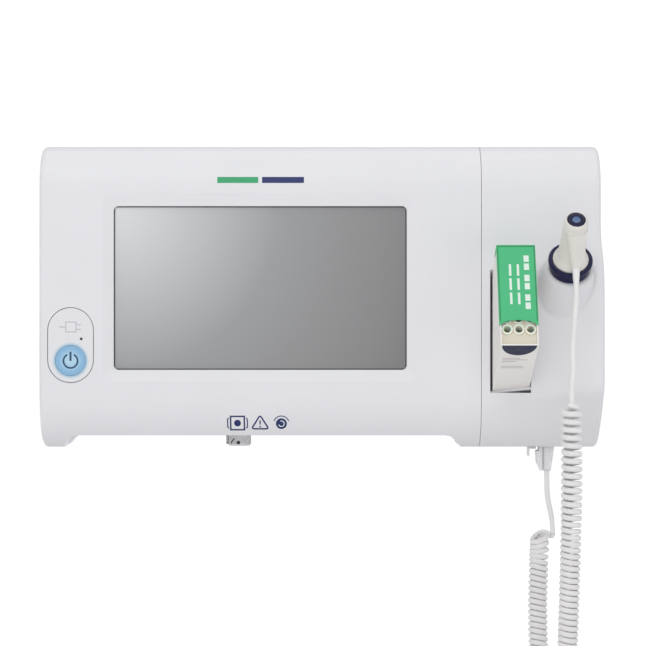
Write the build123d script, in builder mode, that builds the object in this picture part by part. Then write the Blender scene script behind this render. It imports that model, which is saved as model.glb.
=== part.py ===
from build123d import *
from math import cos, pi, radians, sin, tan
import os

# Wall-mounted vital-signs monitor with an electronic-thermometer module, in millimetres.
# The front faces -Y, +Z is up, and the origin is the centre of the bolt pattern on the mount plate's
# rear face. The monitor's display is centred on X = 0, and the module is on the +X side.

# ---------------------------------------------------------------- driving dimensions
FRONT_Y = -66.0            # flat front of both housings
SPLIT_Y = -30.0            # parting plane between front and rear housings
MAIN_REAR_Y = -8.0         # back of the monitor
MODULE_REAR_Y = -2.0       # back of the module, which is a little deeper
HALF_HEIGHT = 80.1
MAIN_HALF_WIDTH = 116.2
MODULE_LEFT_X = 116.3
MODULE_RIGHT_X = 179.1
SEAM = 0.2                 # gap between the monitor and the module
WALL = 2.5
FIT = 0.3                  # groove round the power pad

TOP_DEPTH, TOP_RISE = 20.0, 22.6        # elliptical edge along the top of the front
BOTTOM_DEPTH, BOTTOM_RISE = 22.0, 28.6  # and along the bottom
BULGE = 16.0               # how far the module's right end stands in front of the monitor

SCREEN_W, SCREEN_H, SCREEN_Z = 154.0, 86.0, 4.5
BEZEL_W, BEZEL_H, BEZEL_Z, BEZEL_DEPTH = 165.3, 99.2, 4.7, 1.5
PANEL_W, PANEL_H, PANEL_Y = 164.9, 96.0, -62.9
LCD_H, LCD_Y, LCD_DEPTH = 104.0, -60.8, 3.4
BRACKET_Y = -57.4
BOARD_Y = -50.0
RIBBON_Z = -37.0

PAD_X, PAD_Z, PAD_W, PAD_H = -99.5, -25.5, 23.8, 39.1
PAD_PROUD, PAD_FLANGE = 0.2, 1.0
BUTTON_Z, BUTTON_R, BUTTON_TRAVEL = -33.6, 8.0, 0.8
LED_X, LED_Z, LED_R = -93.9, -22.2, 0.75
SWITCH_Y, BUTTON_BOARD_Y = -58.0, -55.0

RECESS_TOP_Z, RECESS_W, RECESS_R = -73.3, 213.1, 10.2
CONNECTOR_Z = -73.9        # floor of the connector recess, in the rear housing
ETHERNET_BOX = ((64, -27), (80, -13.5))
USB_BOXES = [((24, -24), (38.5, -17)), ((43, -24), (57.5, -17))]
ROUND_JACKS = {"power_inlet": (-60, 6.0), "call_jack": (-35, 5.4)}   # X and outer radius
JACK_Y = -20.0
PORT_X, PORT_Y, PORT_DROP, PORT_BORE_R = -11.8, -38.0, 6.3, 2.2
MANIFOLD_Z = -70.7
PUMP_X, PUMP_Y, PUMP_Z, PUMP_R = 26.0, -24.1, -42.0, 13.5

DOOR_Y, DOOR_SCREW = -10.0, (-87, 37.3)
BAY_LOW, BAY_HIGH = (-110, -30.2, -54), (-64, MAIN_REAR_Y, 40)
MOUNT_SPACING, MOUNT_HOLE_R = 60.0, 2.1

WELL_X, WELL_Y, WELL_Z, WELL_TILT = 160.4, -88.0, 19.0, 38.0   # centre of the collar's face
COLLAR_H, WELL_TUBE_R, WELL_DEPTH, SEAT_Z = 7.0, 9.9, 97.0, 11.0
PROBE_TURN = 9.0           # the probe sits in the well turned a little to the right
RELIEF_L = 7.0

CARTON_X, CARTON_Y, CARTON_Z, CARTON_TILT = 131.5, -117.7, -25.0, 25.0   # its front lower edge
CARTON_W, CARTON_H, CARTON_L, CARD = 19.0, 55.6, 92.0, 0.6
COVER_ROWS, COVER_PITCH, FIRST_COVER = 8, 5.9, 9.4
LID_LOW = 11.2
SLOT_LEFT_X, SLOT_RIGHT_X, SLOT_LOW_Z, SLOT_HIGH_Z = 120.7, 141.6, -50.4, 13.9

SOCKET_LOW, SOCKET_HIGH = (144.9, -45.8), (158.8, -34.2)
PLUG_Y, PLUG_TOP_Z, PLUG_END_Z = -40.0, -80.2, -93.0
CORD_R, FRONT_COIL_R, REAR_COIL_R = 1.3, 5.5, 5.2

# The cord's route from the probe down to its low point and back up to the plug.
FRONT_LEAD = [
    (160.9, -99.8, -13), (160.1, -99.7, -26), (160.6, -99.5, -38), (159.6, -99.0, -48), (159.6, -98.7, -55),
]
FRONT_COIL = [
    (159.6, -98.7, -55), (159.9, -98.3, -85), (159.6, -96.9, -118), (159.0, -94.2, -152), (158.4, -90.6, -184),
    (157.6, -86.0, -213), (156.2, -80.2, -238), (154.3, -73.5, -250), (151.4, -62.5, -250), (149.9, -56.0, -238),
    (148.9, -52.4, -216),
]
REAR_COIL = [
    (148.9, -52.4, -216), (147.9, -48.8, -194), (147.7, -46.3, -172), (148.0, -44.6, -150), (149.3, -43.2, -124.5),
]
REAR_LEAD = [
    (153.2, -40, -93), (153.2, -40, -101), (153.6, -40.2, -108), (155.2, -40.6, -115.5), (156.1, -41.5, -122),
    (156.1, -42.4, -127),
]

os.makedirs("parts", exist_ok=True)


def save(builder, name):
    """Name a finished piece and write it as one STEP file."""
    builder.part.label = name
    export_step(builder.part, f"parts/{name}.step")


# ---------------------------------------------------------------- shared outlines
def main_outline(inset, rear_y):
    """Side view of the monitor, Y across and Z up, inset from its outer surface."""
    height = HALF_HEIGHT - inset
    top_y, top_z = FRONT_Y + TOP_DEPTH, HALF_HEIGHT - TOP_RISE
    low_y, low_z = FRONT_Y + BOTTOM_DEPTH, BOTTOM_RISE - HALF_HEIGHT
    with BuildSketch() as outline:
        with BuildLine():
            Line((rear_y, -height), (low_y, -height))
            EllipticalCenterArc((low_y, low_z), BOTTOM_DEPTH - inset, BOTTOM_RISE - inset, 180, arc_size=90)
            Line((FRONT_Y + inset, low_z), (FRONT_Y + inset, top_z))
            EllipticalCenterArc((top_y, top_z), TOP_DEPTH - inset, TOP_RISE - inset, 90, arc_size=90)
            Line((top_y, height), (rear_y, height))
            Line((rear_y, height), (rear_y, -height))
        make_face()
    return outline.sketch


def between(start, end, share):
    """Point a given share of the way from one point to another."""
    return tuple(a + (b - a) * share for a, b in zip(start, end))


def module_outline(x, inset, rear_y):
    """Side view of the module at x: the monitor's at the seam, swelling forward to the right."""
    share = (x - MAIN_HALF_WIDTH) / (MODULE_RIGHT_X - MAIN_HALF_WIDTH)
    height = HALF_HEIGHT - inset
    front = FRONT_Y + inset
    low_y, low_z = FRONT_Y + BOTTOM_DEPTH, BOTTOM_RISE - HALF_HEIGHT
    top_y, top_z = FRONT_Y + TOP_DEPTH, HALF_HEIGHT - TOP_RISE
    plain = [
        (
            low_y - (BOTTOM_DEPTH - inset) * sin(radians(angle)),
            low_z - (BOTTOM_RISE - inset) * cos(radians(angle)),
        )
        for angle in (0, 25, 50, 72, 90)
    ]
    plain += [(front, -2), (front, 21), (front, 40)]
    edge = inset * 0.7
    swollen = [
        (low_y, -height),
        (-58.0 + edge, -74.4 + edge),
        (-70.0 + edge, -63.2 + edge),
        (-79.2 + inset, -51.5 + inset / 2),
        (front - BULGE, -43.0),
        (front - BULGE, -2.0),
        (-75.8 + inset, 21.0 - inset / 2),
        (front, 40.0),
    ]
    points = [between(start, end, share) for start, end in zip(plain, swollen)]
    with BuildSketch() as outline:
        with BuildLine():
            Line((rear_y, -height), points[0])
            Spline(*points[0:5], tangents=[(-1, 0), (0, 1)])
            Line(points[4], points[5])
            Spline(*points[5:8], tangents=[(0, 1), (0, 1)])
            Line(points[7], (front, top_z))
            EllipticalCenterArc((top_y, top_z), TOP_DEPTH - inset, TOP_RISE - inset, 90, arc_size=90)
            Line((top_y, height), (rear_y, height))
            Line((rear_y, height), (rear_y, -height))
        make_face()
    return Plane.YZ.offset(x) * outline.sketch


def front_plane(y):
    """Plane seen from the front, X to the right and Z up, at depth y."""
    return Plane((0, y, 0), x_dir=(1, 0, 0), z_dir=(0, -1, 0))


def pad_shape(gap):
    """Upright stadium of the power pad, grown by gap all round."""
    with Locations((PAD_X, PAD_Z)):
        SlotOverall(PAD_H + 2 * gap, PAD_W + 2 * gap, rotation=90)


def recess_arch(top_z, grown):
    """Shallow arch cut along the bottom, which leaves a foot at each end, grown all round."""
    with BuildSketch(front_plane(FRONT_Y - 1)) as arch:
        with Locations((0.5, top_z - 20)):
            RectangleRounded(RECESS_W + 2 * grown, 40 + 2 * grown, RECESS_R + grown)
    return arch.sketch


well_out = Vector(0, -cos(radians(WELL_TILT)), sin(radians(WELL_TILT)))
well_plane = Plane((WELL_X, WELL_Y, WELL_Z), x_dir=(1, 0, 0), z_dir=well_out)
probe_x = well_plane.x_dir * cos(radians(PROBE_TURN)) + well_plane.y_dir * sin(radians(PROBE_TURN))
probe_plane = Plane(well_plane.origin, x_dir=probe_x, z_dir=well_out)
carton_out = Vector(0, -cos(radians(CARTON_TILT)), sin(radians(CARTON_TILT)))
carton_plane = Plane((CARTON_X, CARTON_Y, CARTON_Z), x_dir=(1, 0, 0), z_dir=carton_out)

main_screws_at = [(-108, 66), (0, 70), (108, 66), (-110.4, -66), (110.4, -66)]
module_screws_at = [(126, 70), (171, 70), (126, -73), (171, -72)]
bracket_posts_at = [(x, SCREEN_Z + z) for x in (-88.5, 88.5) for z in (-49.5, 49.5)]
board_posts_at = [(x, SCREEN_Z + z) for x in (-76, 76) for z in (-46, 46)]
mount_pattern_at = [(x * MOUNT_SPACING / 2, z * MOUNT_SPACING / 2) for x in (-1, 1) for z in (-1, 1)]
mount_screws_at = [(x, z) for x in (-50, 50) for z in (-22, 22)]
link_screws_at = [(-38, 62), (-38, 34), (-38, -72.5)]
slot_low_x, slot_high_x = SLOT_LEFT_X - CARTON_X, SLOT_RIGHT_X - CARTON_X
half_w = CARTON_W / 2


def box_between(low, high, mode=Mode.ADD):
    """Box from its lowest to its highest corner."""
    size = [b - a for a, b in zip(low, high)]
    centre = tuple((a + b) / 2 for a, b in zip(low, high))
    with Locations(centre):
        Box(*size, mode=mode)


def carton_box(low, high, mode=Mode.ADD):
    """Box in the carton's own frame: X across, Y up its face, Z outwards along its length."""
    with Locations(carton_plane):
        box_between(low, high, mode)


def turned(plane, points):
    """Solid turned about the plane's Z from (radius, height) points of half its section."""
    with BuildPart() as piece:
        with BuildSketch(Plane(plane.origin, x_dir=plane.x_dir, z_dir=-plane.y_dir)):
            with BuildLine():
                Polyline(*points, close=True)
            make_face()
        revolve(axis=Axis(plane.origin, plane.z_dir))
    return piece.part


def screw_holes(places, from_y, to_y, radius, mode=Mode.SUBTRACT):
    """Cylinders along Y at each (x, z), from one depth to another."""
    for x, z in places:
        with Locations(Plane((x, (from_y + to_y) / 2, z), x_dir=(1, 0, 0), z_dir=(0, -1, 0))):
            Cylinder(radius, abs(to_y - from_y), mode=mode)


def screws(places, head_y, shank_end_y, head_r, shank_r, head_height):
    """Pan-head screws driven towards the front, all in one piece's group."""
    for x, z in places:
        with Locations(Plane((x, head_y, z), x_dir=(1, 0, 0), z_dir=(0, -1, 0))):
            Cylinder(shank_r, head_y - shank_end_y, align=(Align.CENTER, Align.CENTER, Align.MIN))
            Cylinder(head_r, head_height, align=(Align.CENTER, Align.CENTER, Align.MAX))
        with Locations(Plane((x, head_y + head_height, z), x_dir=(1, 0, 0), z_dir=(0, -1, 0))):
            Cylinder(head_r * 0.45, head_height, mode=Mode.SUBTRACT)


# ---------------------------------------------------------------- monitor: housings
with BuildPart() as main_inside:
    with BuildSketch(Plane.YZ.offset(WALL - MAIN_HALF_WIDTH)):
        add(main_outline(WALL, MAIN_REAR_Y - WALL))
    extrude(amount=2 * (MAIN_HALF_WIDTH - WALL) - SEAM / 2)
    screw_holes(main_screws_at, MAIN_REAR_Y, FRONT_Y, 4.0)
    extrude(recess_arch(RECESS_TOP_Z, WALL), amount=-80, mode=Mode.SUBTRACT)

with BuildPart() as front_housing:
    with BuildSketch(Plane.YZ.offset(-MAIN_HALF_WIDTH)):
        add(main_outline(0, SPLIT_Y))
    extrude(amount=2 * MAIN_HALF_WIDTH - SEAM / 2)
    left_face = front_housing.faces().sort_by(Axis.X)[0]
    rear_edge = left_face.edges().sort_by(Axis.Y)[-1]
    fillet([edge for edge in left_face.edges() if edge.center() != rear_edge.center()], radius=3)
    with BuildSketch(front_plane(FRONT_Y)):
        with Locations((0, BEZEL_Z)):
            RectangleRounded(BEZEL_W, BEZEL_H, 5.8)
    with BuildSketch(front_plane(FRONT_Y + BEZEL_DEPTH)):
        with Locations((0, SCREEN_Z)):
            RectangleRounded(SCREEN_W + 0.8, SCREEN_H + 0.8, 2.9)
    loft(mode=Mode.SUBTRACT)
    add(main_inside.part, mode=Mode.SUBTRACT)
    with BuildSketch(front_plane(FRONT_Y)):
        with Locations((0, SCREEN_Z)):
            RectangleRounded(SCREEN_W, SCREEN_H, 2.5)
        pad_shape(FIT)
    extrude(amount=-2 * WALL, mode=Mode.SUBTRACT)
    extrude(recess_arch(RECESS_TOP_Z, 0), amount=-80, mode=Mode.SUBTRACT)
    screw_holes(main_screws_at, SPLIT_Y, SPLIT_Y - 16, 1.3)
    with BuildSketch(front_plane(FRONT_Y + WALL)):
        with Locations(*bracket_posts_at):
            Circle(3.2)
            Circle(1.3, mode=Mode.SUBTRACT)
    extrude(amount=FRONT_Y + WALL - BRACKET_Y)
    box_between((MAIN_HALF_WIDTH - 5, -43, 46), (MAIN_HALF_WIDTH + 5, -31, 58), Mode.SUBTRACT)
    with Locations(*[Plane((115, y, z), x_dir=(0, 1, 0), z_dir=(1, 0, 0)) for y, z in link_screws_at]):
        Cylinder(1.3, 10, mode=Mode.SUBTRACT)
    with Locations((PORT_X, PORT_Y, RECESS_TOP_Z)):
        Cylinder(4.6, 12, mode=Mode.SUBTRACT)
save(front_housing, "front_housing")

with BuildPart() as rear_housing:
    box_between(
        (0.4 - MAIN_HALF_WIDTH, SPLIT_Y, 0.4 - HALF_HEIGHT),
        (MAIN_HALF_WIDTH - SEAM / 2, MAIN_REAR_Y, HALF_HEIGHT - 0.4),
    )
    rear_face = rear_housing.faces().sort_by(Axis.Y)[-1]
    fillet(rear_face.edges(), radius=4)
    side_edges = rear_housing.edges().filter_by(Axis.Y)
    fillet(side_edges.group_by(Axis.X)[0], radius=3)
    add(main_inside.part, mode=Mode.SUBTRACT)
    extrude(recess_arch(CONNECTOR_Z, 0), amount=-80, mode=Mode.SUBTRACT)
    box_between((BAY_LOW[0] - 2, BAY_LOW[1] - 2, BAY_LOW[2] - 2), (BAY_HIGH[0] + 2, -9, BAY_HIGH[2] + 2))
    box_between(BAY_LOW, BAY_HIGH, Mode.SUBTRACT)
    box_between((-111.7, DOOR_Y, -55.7), (-62.3, 0, 41.7), Mode.SUBTRACT)
    screw_holes([DOOR_SCREW], BAY_LOW[1] - 1, DOOR_Y, 3.2, Mode.ADD)
    screw_holes([DOOR_SCREW], BAY_LOW[1] + 4, DOOR_Y + 1, 1.3)
    screw_holes(mount_screws_at, MAIN_REAR_Y - 1, MAIN_REAR_Y - 12, 4.0, Mode.ADD)
    screw_holes(mount_screws_at, MAIN_REAR_Y + 1, MAIN_REAR_Y - 11, 1.6)
    screw_holes(main_screws_at, SPLIT_Y - 1, MAIN_REAR_Y, 1.6)
    screw_holes(main_screws_at, -20, MAIN_REAR_Y + 1, 3.1)
    for row in range(5):
        box_between((84, -12, 31 + 4 * row), (104, 0, 33 + 4 * row), Mode.SUBTRACT)
    for low, high in [ETHERNET_BOX] + USB_BOXES:
        box_between((low[0], low[1], -80), (high[0], high[1], -70), Mode.SUBTRACT)
    for x, radius in ROUND_JACKS.values():
        with Locations((x, JACK_Y, -75)):
            Cylinder(radius, 12, mode=Mode.SUBTRACT)
save(rear_housing, "rear_housing")

with BuildPart() as monitor_screws:
    screws(main_screws_at, -20, SPLIT_Y - 14, 2.8, 1.3, 2)
    screws(bracket_posts_at, BRACKET_Y + 1, BRACKET_Y - 4, 2.8, 1.3, 1.8)
    screws(board_posts_at, BOARD_Y + 1.6, BOARD_Y - 4, 2.4, 1.2, 1.8)
save(monitor_screws, "monitor_screws")

# ---------------------------------------------------------------- monitor: screen stack
with BuildPart() as screen_gasket:
    with BuildSketch(front_plane(FRONT_Y + WALL)):
        with Locations((0, SCREEN_Z)):
            RectangleRounded(SCREEN_W + 7, SCREEN_H + 7, 4)
            RectangleRounded(SCREEN_W + 1, SCREEN_H + 1, 2.5, mode=Mode.SUBTRACT)
    extrude(amount=-0.6)
save(screen_gasket, "screen_gasket")

with BuildPart() as touch_panel:
    with BuildSketch(front_plane(PANEL_Y)):
        with Locations((0, SCREEN_Z)):
            RectangleRounded(PANEL_W, PANEL_H, 2)
    extrude(amount=-1.8)
save(touch_panel, "touch_panel")

with BuildPart() as display_module:
    with BuildSketch(front_plane(LCD_Y)):
        with Locations((0, SCREEN_Z)):
            RectangleRounded(PANEL_W, LCD_H, 1)
    extrude(amount=-LCD_DEPTH)
    with BuildSketch(front_plane(LCD_Y)):
        with Locations((0, SCREEN_Z)):
            Rectangle(SCREEN_W + 2, SCREEN_H + 2)
    extrude(amount=-0.3, mode=Mode.SUBTRACT)
save(display_module, "display_module")

with BuildPart() as display_bracket:
    with BuildSketch(front_plane(BRACKET_Y)):
        with Locations((0, SCREEN_Z)):
            RectangleRounded(186, 106, 4)
        with Locations(*bracket_posts_at):
            Circle(1.6, mode=Mode.SUBTRACT)
        with Locations((0, RIBBON_Z)):
            Rectangle(34, 8, mode=Mode.SUBTRACT)
        with Locations((-60, 20), (0, 20), (60, 20)):
            Circle(9, mode=Mode.SUBTRACT)
    extrude(amount=-1)
    with BuildSketch(front_plane(BRACKET_Y + 1)):
        with Locations(*board_posts_at):
            RegularPolygon(2.8, 6)
    extrude(amount=-(BOARD_Y - BRACKET_Y - 1))
    screw_holes(board_posts_at, BOARD_Y - 5, BOARD_Y, 1.2)
save(display_bracket, "display_bracket")

# ---------------------------------------------------------------- monitor: electronics
with BuildPart() as main_board:
    with BuildSketch(front_plane(BOARD_Y)):
        with Locations((0, SCREEN_Z)):
            RectangleRounded(166, 106, 2)
        with Locations(*board_posts_at):
            Circle(1.2, mode=Mode.SUBTRACT)
    extrude(amount=-1.6)
save(main_board, "main_board")

with BuildPart() as board_components:
    back = BOARD_Y + 1.6
    for x, z, width, height, depth in (
        (-20, 26, 24, 24, 2.4),
        (10, 32, 12, 9, 1.2),
        (10, 20, 12, 9, 1.2),
        (42, 30, 34, 26, 4.5),
        (-52, 40, 14, 14, 1.6),
        (-50, -30, 18, 12, 6),
        (75, 20, 8, 24, 6),
        (-14, -20, 20, 14, 2),
        (18, -34, 12, 12, 5),
    ):
        box_between((x - width / 2, back, z - height / 2), (x + width / 2, back + depth, z + height / 2))
    for x in (-34, -26, -18):
        with Locations(Plane((x, back, -40), x_dir=(1, 0, 0), z_dir=(0, 1, 0))):
            Cylinder(3, 9, align=(Align.CENTER, Align.CENTER, Align.MIN))
save(board_components, "board_components")

with BuildPart() as display_ribbon:
    box_between((-14, LCD_Y + LCD_DEPTH, RIBBON_Z - 0.2), (14, BOARD_Y, RIBBON_Z + 0.2))
save(display_ribbon, "display_ribbon")

with BuildPart() as speaker:
    speaker_plane = Plane((94, MAIN_REAR_Y - WALL, 40), x_dir=(1, 0, 0), z_dir=(0, -1, 0))
    add(
        turned(
            speaker_plane,
            [(0, 2), (5, 1.2), (12, 0.4), (12, 0), (14, 0), (14, 2.5), (9, 5), (9, 9), (0, 9)],
        )
    )
save(speaker, "speaker")

# ---------------------------------------------------------------- monitor: power
with BuildPart() as battery_pack:
    box_between((-109.6, -30.2, -53.6), (-64.4, DOOR_Y - 0.4, 30.6))
    fillet(battery_pack.edges().filter_by(Axis.Z), radius=2)
save(battery_pack, "battery_pack")

with BuildPart() as battery_contacts:
    box_between((-94, -30.2, 30.8), (-80, -22, 32.8))
save(battery_contacts, "battery_contacts")

with BuildPart() as battery_door:
    box_between((-111.5, DOOR_Y, -55.5), (-62.5, MAIN_REAR_Y, 41.5))
    fillet(battery_door.edges().filter_by(Axis.Y), radius=1.5)
    screw_holes([DOOR_SCREW], DOOR_Y, MAIN_REAR_Y, 1.6)
    screw_holes([DOOR_SCREW], MAIN_REAR_Y - 0.9, MAIN_REAR_Y, 2.9)
    for row in range(4):
        box_between((-100, MAIN_REAR_Y - 0.8, -46 + 4 * row), (-74, 0, -44.8 + 4 * row), Mode.SUBTRACT)
save(battery_door, "battery_door")

with BuildPart() as door_screw:
    screws([DOOR_SCREW], MAIN_REAR_Y - 0.9, DOOR_Y - 8, 2.7, 1.3, 0.9)
save(door_screw, "door_screw")

with BuildPart() as power_pad:
    with BuildSketch(front_plane(FRONT_Y - PAD_PROUD)):
        pad_shape(0)
    extrude(amount=-(WALL + PAD_PROUD))
    fillet(power_pad.faces().sort_by(Axis.Y)[0].edges(), radius=0.5)
    with BuildSketch(front_plane(FRONT_Y + WALL)):
        pad_shape(1.0)
    extrude(amount=-PAD_FLANGE)
    screw_holes([(PAD_X, BUTTON_Z)], FRONT_Y - 1, FRONT_Y + 5, BUTTON_R + 0.08)
    screw_holes([(LED_X, LED_Z)], FRONT_Y - 1, FRONT_Y + 5, LED_R)
save(power_pad, "power_pad")

PAD_BACK_Y = FRONT_Y + WALL + PAD_FLANGE
with BuildPart() as power_button:
    screw_holes([(PAD_X, BUTTON_Z)], FRONT_Y - PAD_PROUD, PAD_BACK_Y, BUTTON_R, Mode.ADD)
    fillet(power_button.faces().sort_by(Axis.Y)[0].edges(), radius=0.3)
    screw_holes([(PAD_X, BUTTON_Z)], PAD_BACK_Y, PAD_BACK_Y + 0.8, BUTTON_R + 1, Mode.ADD)
    screw_holes([(PAD_X, BUTTON_Z)], PAD_BACK_Y + 0.8, SWITCH_Y - BUTTON_TRAVEL - 0.1, 2, Mode.ADD)
save(power_button, "power_button")

with BuildPart() as status_light_pipe:
    screw_holes([(LED_X, LED_Z)], FRONT_Y - PAD_PROUD, BUTTON_BOARD_Y, LED_R, Mode.ADD)
save(status_light_pipe, "status_light_pipe")

with BuildPart() as button_board:
    box_between((-110.5, BUTTON_BOARD_Y, -40), (-89.5, BUTTON_BOARD_Y + 1.6, -8))
save(button_board, "button_board")

with BuildPart() as power_switch:
    box_between((PAD_X - 3, SWITCH_Y + 1, BUTTON_Z - 3), (PAD_X + 3, BUTTON_BOARD_Y, BUTTON_Z + 3))
    screw_holes([(PAD_X, BUTTON_Z)], SWITCH_Y, SWITCH_Y + 1, 1.6, Mode.ADD)
save(power_switch, "power_switch")

# ---------------------------------------------------------------- monitor: connectors and air line
with BuildPart() as ethernet_jack:
    low, high = ETHERNET_BOX
    box_between((low[0], low[1], CONNECTOR_Z), (high[0], high[1], CONNECTOR_Z + 14))
    box_between((low[0] + 1.8, low[1] + 1.4, -80), (high[0] - 1.8, high[1] - 1.4, CONNECTOR_Z + 11), Mode.SUBTRACT)
save(ethernet_jack, "ethernet_jack")

with BuildPart() as usb_ports:
    for low, high in USB_BOXES:
        box_between((low[0], low[1], CONNECTOR_Z), (high[0], high[1], CONNECTOR_Z + 14))
        box_between((low[0] + 1, low[1] + 0.6, -80), (high[0] - 1, high[1] - 0.6, CONNECTOR_Z + 11), Mode.SUBTRACT)
save(usb_ports, "usb_ports")

for name, (x, radius) in ROUND_JACKS.items():
    with BuildPart() as jack:
        with Locations((x, JACK_Y, CONNECTOR_Z)):
            Cylinder(radius, 13, align=(Align.CENTER, Align.CENTER, Align.MIN))
            Cylinder(radius - 2, 10, align=(Align.CENTER, Align.CENTER, Align.MIN), mode=Mode.SUBTRACT)
    save(jack, name)

port_plane = Plane((PORT_X, PORT_Y, RECESS_TOP_Z), x_dir=(1, 0, 0), z_dir=(0, 0, -1))
with BuildPart() as air_port:
    with BuildSketch(port_plane):
        RectangleRounded(12, 12, 2)
    extrude(amount=PORT_DROP)
    fillet(air_port.faces().sort_by(Axis.Z)[0].edges(), radius=0.8)
    with Locations(port_plane):
        Cylinder(4.6, 2.6, align=(Align.CENTER, Align.CENTER, Align.MAX))
    with Locations(Plane((PORT_X, PORT_Y, RECESS_TOP_Z - PORT_DROP))):
        Cylinder(PORT_BORE_R, 9.5, align=(Align.CENTER, Align.CENTER, Align.MIN), mode=Mode.SUBTRACT)
        Cylinder(4.4, 1, align=(Align.CENTER, Align.CENTER, Align.MIN), mode=Mode.SUBTRACT)
save(air_port, "air_port")

with BuildPart() as port_clip:
    box_between((PORT_X - 7.1, PORT_Y - 4, RECESS_TOP_Z - 5.6), (PORT_X - 6.1, PORT_Y + 4, RECESS_TOP_Z))
    fillet(port_clip.edges().filter_by(Axis.X), radius=1.5)
save(port_clip, "port_clip")

with BuildPart() as air_manifold:
    box_between((-34, -44, MANIFOLD_Z), (10, -32, MANIFOLD_Z + 12))
    fillet(air_manifold.edges().filter_by(Axis.Z), radius=1)
save(air_manifold, "air_manifold")

with BuildPart() as air_valves:
    with Locations((-26, -38, MANIFOLD_Z + 12), (2, -38, MANIFOLD_Z + 12)):
        Cylinder(4.8, 12, align=(Align.CENTER, Align.CENTER, Align.MIN))
        Cylinder(2, 14, align=(Align.CENTER, Align.CENTER, Align.MIN))
save(air_valves, "air_valves")

pump_plane = Plane((PUMP_X, PUMP_Y, PUMP_Z), x_dir=(0, 1, 0), z_dir=(1, 0, 0))
pump_section = [(0, 0), (PUMP_R, 0), (PUMP_R, 30), (12, 31), (12, 52), (3, 52), (3, 55), (0, 55)]
with BuildPart() as air_pump:
    add(turned(pump_plane, pump_section))
save(air_pump, "air_pump")

with BuildPart() as pump_strap:
    with BuildSketch(Plane.YZ.offset(PUMP_X + 10)):
        with Locations((PUMP_Y, PUMP_Z)):
            Circle(PUMP_R + 1)
        with Locations((MAIN_REAR_Y - WALL - 0.8, PUMP_Z)):
            Rectangle(1.6, 40)
        with Locations((PUMP_Y, PUMP_Z)):
            Circle(PUMP_R, mode=Mode.SUBTRACT)
        with Locations((0, PUMP_Z)):
            Rectangle(-2 * (MAIN_REAR_Y - WALL), 60, mode=Mode.SUBTRACT)
    extrude(amount=10)
save(pump_strap, "pump_strap")

with BuildPart() as air_tube:
    with BuildLine():
        FilletPolyline((10, -38, -64.6), (17, -38, -64.6), (17, PUMP_Y, PUMP_Z), (PUMP_X, PUMP_Y, PUMP_Z), radius=4.5)
    with BuildSketch(Plane.YZ.offset(10)):
        with Locations((-38, -64.6)):
            Circle(2)
            Circle(1.2, mode=Mode.SUBTRACT)
    sweep()
save(air_tube, "air_tube")

# ---------------------------------------------------------------- mount
with BuildPart() as mount_plate:
    box_between((-42, -3, -46), (42, 0, 46))
    for side in (-1, 1):
        box_between((min(side * 39, side * 42), MAIN_REAR_Y, -30), (max(side * 39, side * 42), 0, 30))
        box_between((min(side * 39, side * 56), MAIN_REAR_Y, -30), (max(side * 39, side * 56), -6, 30))
    screw_holes(mount_pattern_at, -4, 1, MOUNT_HOLE_R)
    screw_holes([(0, 0)], -4, 1, 12)
    screw_holes(mount_screws_at, MAIN_REAR_Y - 1, -5, 1.7)
    fillet(mount_plate.edges().filter_by(Axis.Y).group_by(Axis.X)[0], radius=3)
    fillet(mount_plate.edges().filter_by(Axis.Y).group_by(Axis.X)[-1], radius=3)
save(mount_plate, "mount_plate")

with BuildPart() as mount_screws:
    screws(mount_screws_at, -6, MAIN_REAR_Y - 10, 3.2, 1.6, 2.2)
save(mount_screws, "mount_screws")

# ---------------------------------------------------------------- module: housings
with BuildPart() as module_inside:
    loft(
        [module_outline(x, WALL, MODULE_REAR_Y - WALL) for x in (MODULE_LEFT_X + WALL, MODULE_RIGHT_X - WALL)],
        ruled=True,
    )
    screw_holes(module_screws_at, MODULE_REAR_Y, FRONT_Y - 20, 3.6)

with BuildPart() as module_front_housing:
    loft([module_outline(x, 0, SPLIT_Y) for x in (MODULE_LEFT_X, MODULE_RIGHT_X)], ruled=True)
    right_face = module_front_housing.faces().sort_by(Axis.X)[-1]
    rear_edge = right_face.edges().sort_by(Axis.Y)[-1]
    fillet([edge for edge in right_face.edges() if edge.center() != rear_edge.center()], radius=2.5)
    with BuildSketch(well_plane.offset(-COLLAR_H)):
        Circle(12.4)
    with BuildSketch(well_plane.offset(-COLLAR_H - 27)):
        Circle(18.4)
    loft()
    add(module_inside.part, mode=Mode.SUBTRACT)
    with Locations(well_plane):
        Cylinder(WELL_TUBE_R + 0.1, 90, mode=Mode.SUBTRACT)
    box_between((SLOT_LEFT_X, -100, SLOT_LOW_Z), (SLOT_RIGHT_X, -58, SLOT_HIGH_Z), Mode.SUBTRACT)
    carton_box((slot_low_x, 0, -CARTON_L), (slot_high_x, CARTON_H + 1.1, 10), Mode.SUBTRACT)
    screw_holes(module_screws_at, SPLIT_Y, SPLIT_Y - 14, 1.3)
    box_between((MAIN_HALF_WIDTH - 5, -43, 46), (MAIN_HALF_WIDTH + 5, -31, 58), Mode.SUBTRACT)
    box_between((SOCKET_LOW[0], SOCKET_LOW[1], -82), (SOCKET_HIGH[0], SOCKET_HIGH[1], -70), Mode.SUBTRACT)
    with Locations(*[Plane((117.5, y, z), x_dir=(0, 1, 0), z_dir=(1, 0, 0)) for y, z in link_screws_at]):
        Cylinder(1.6, 4, mode=Mode.SUBTRACT)
save(module_front_housing, "module_front_housing")

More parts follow.
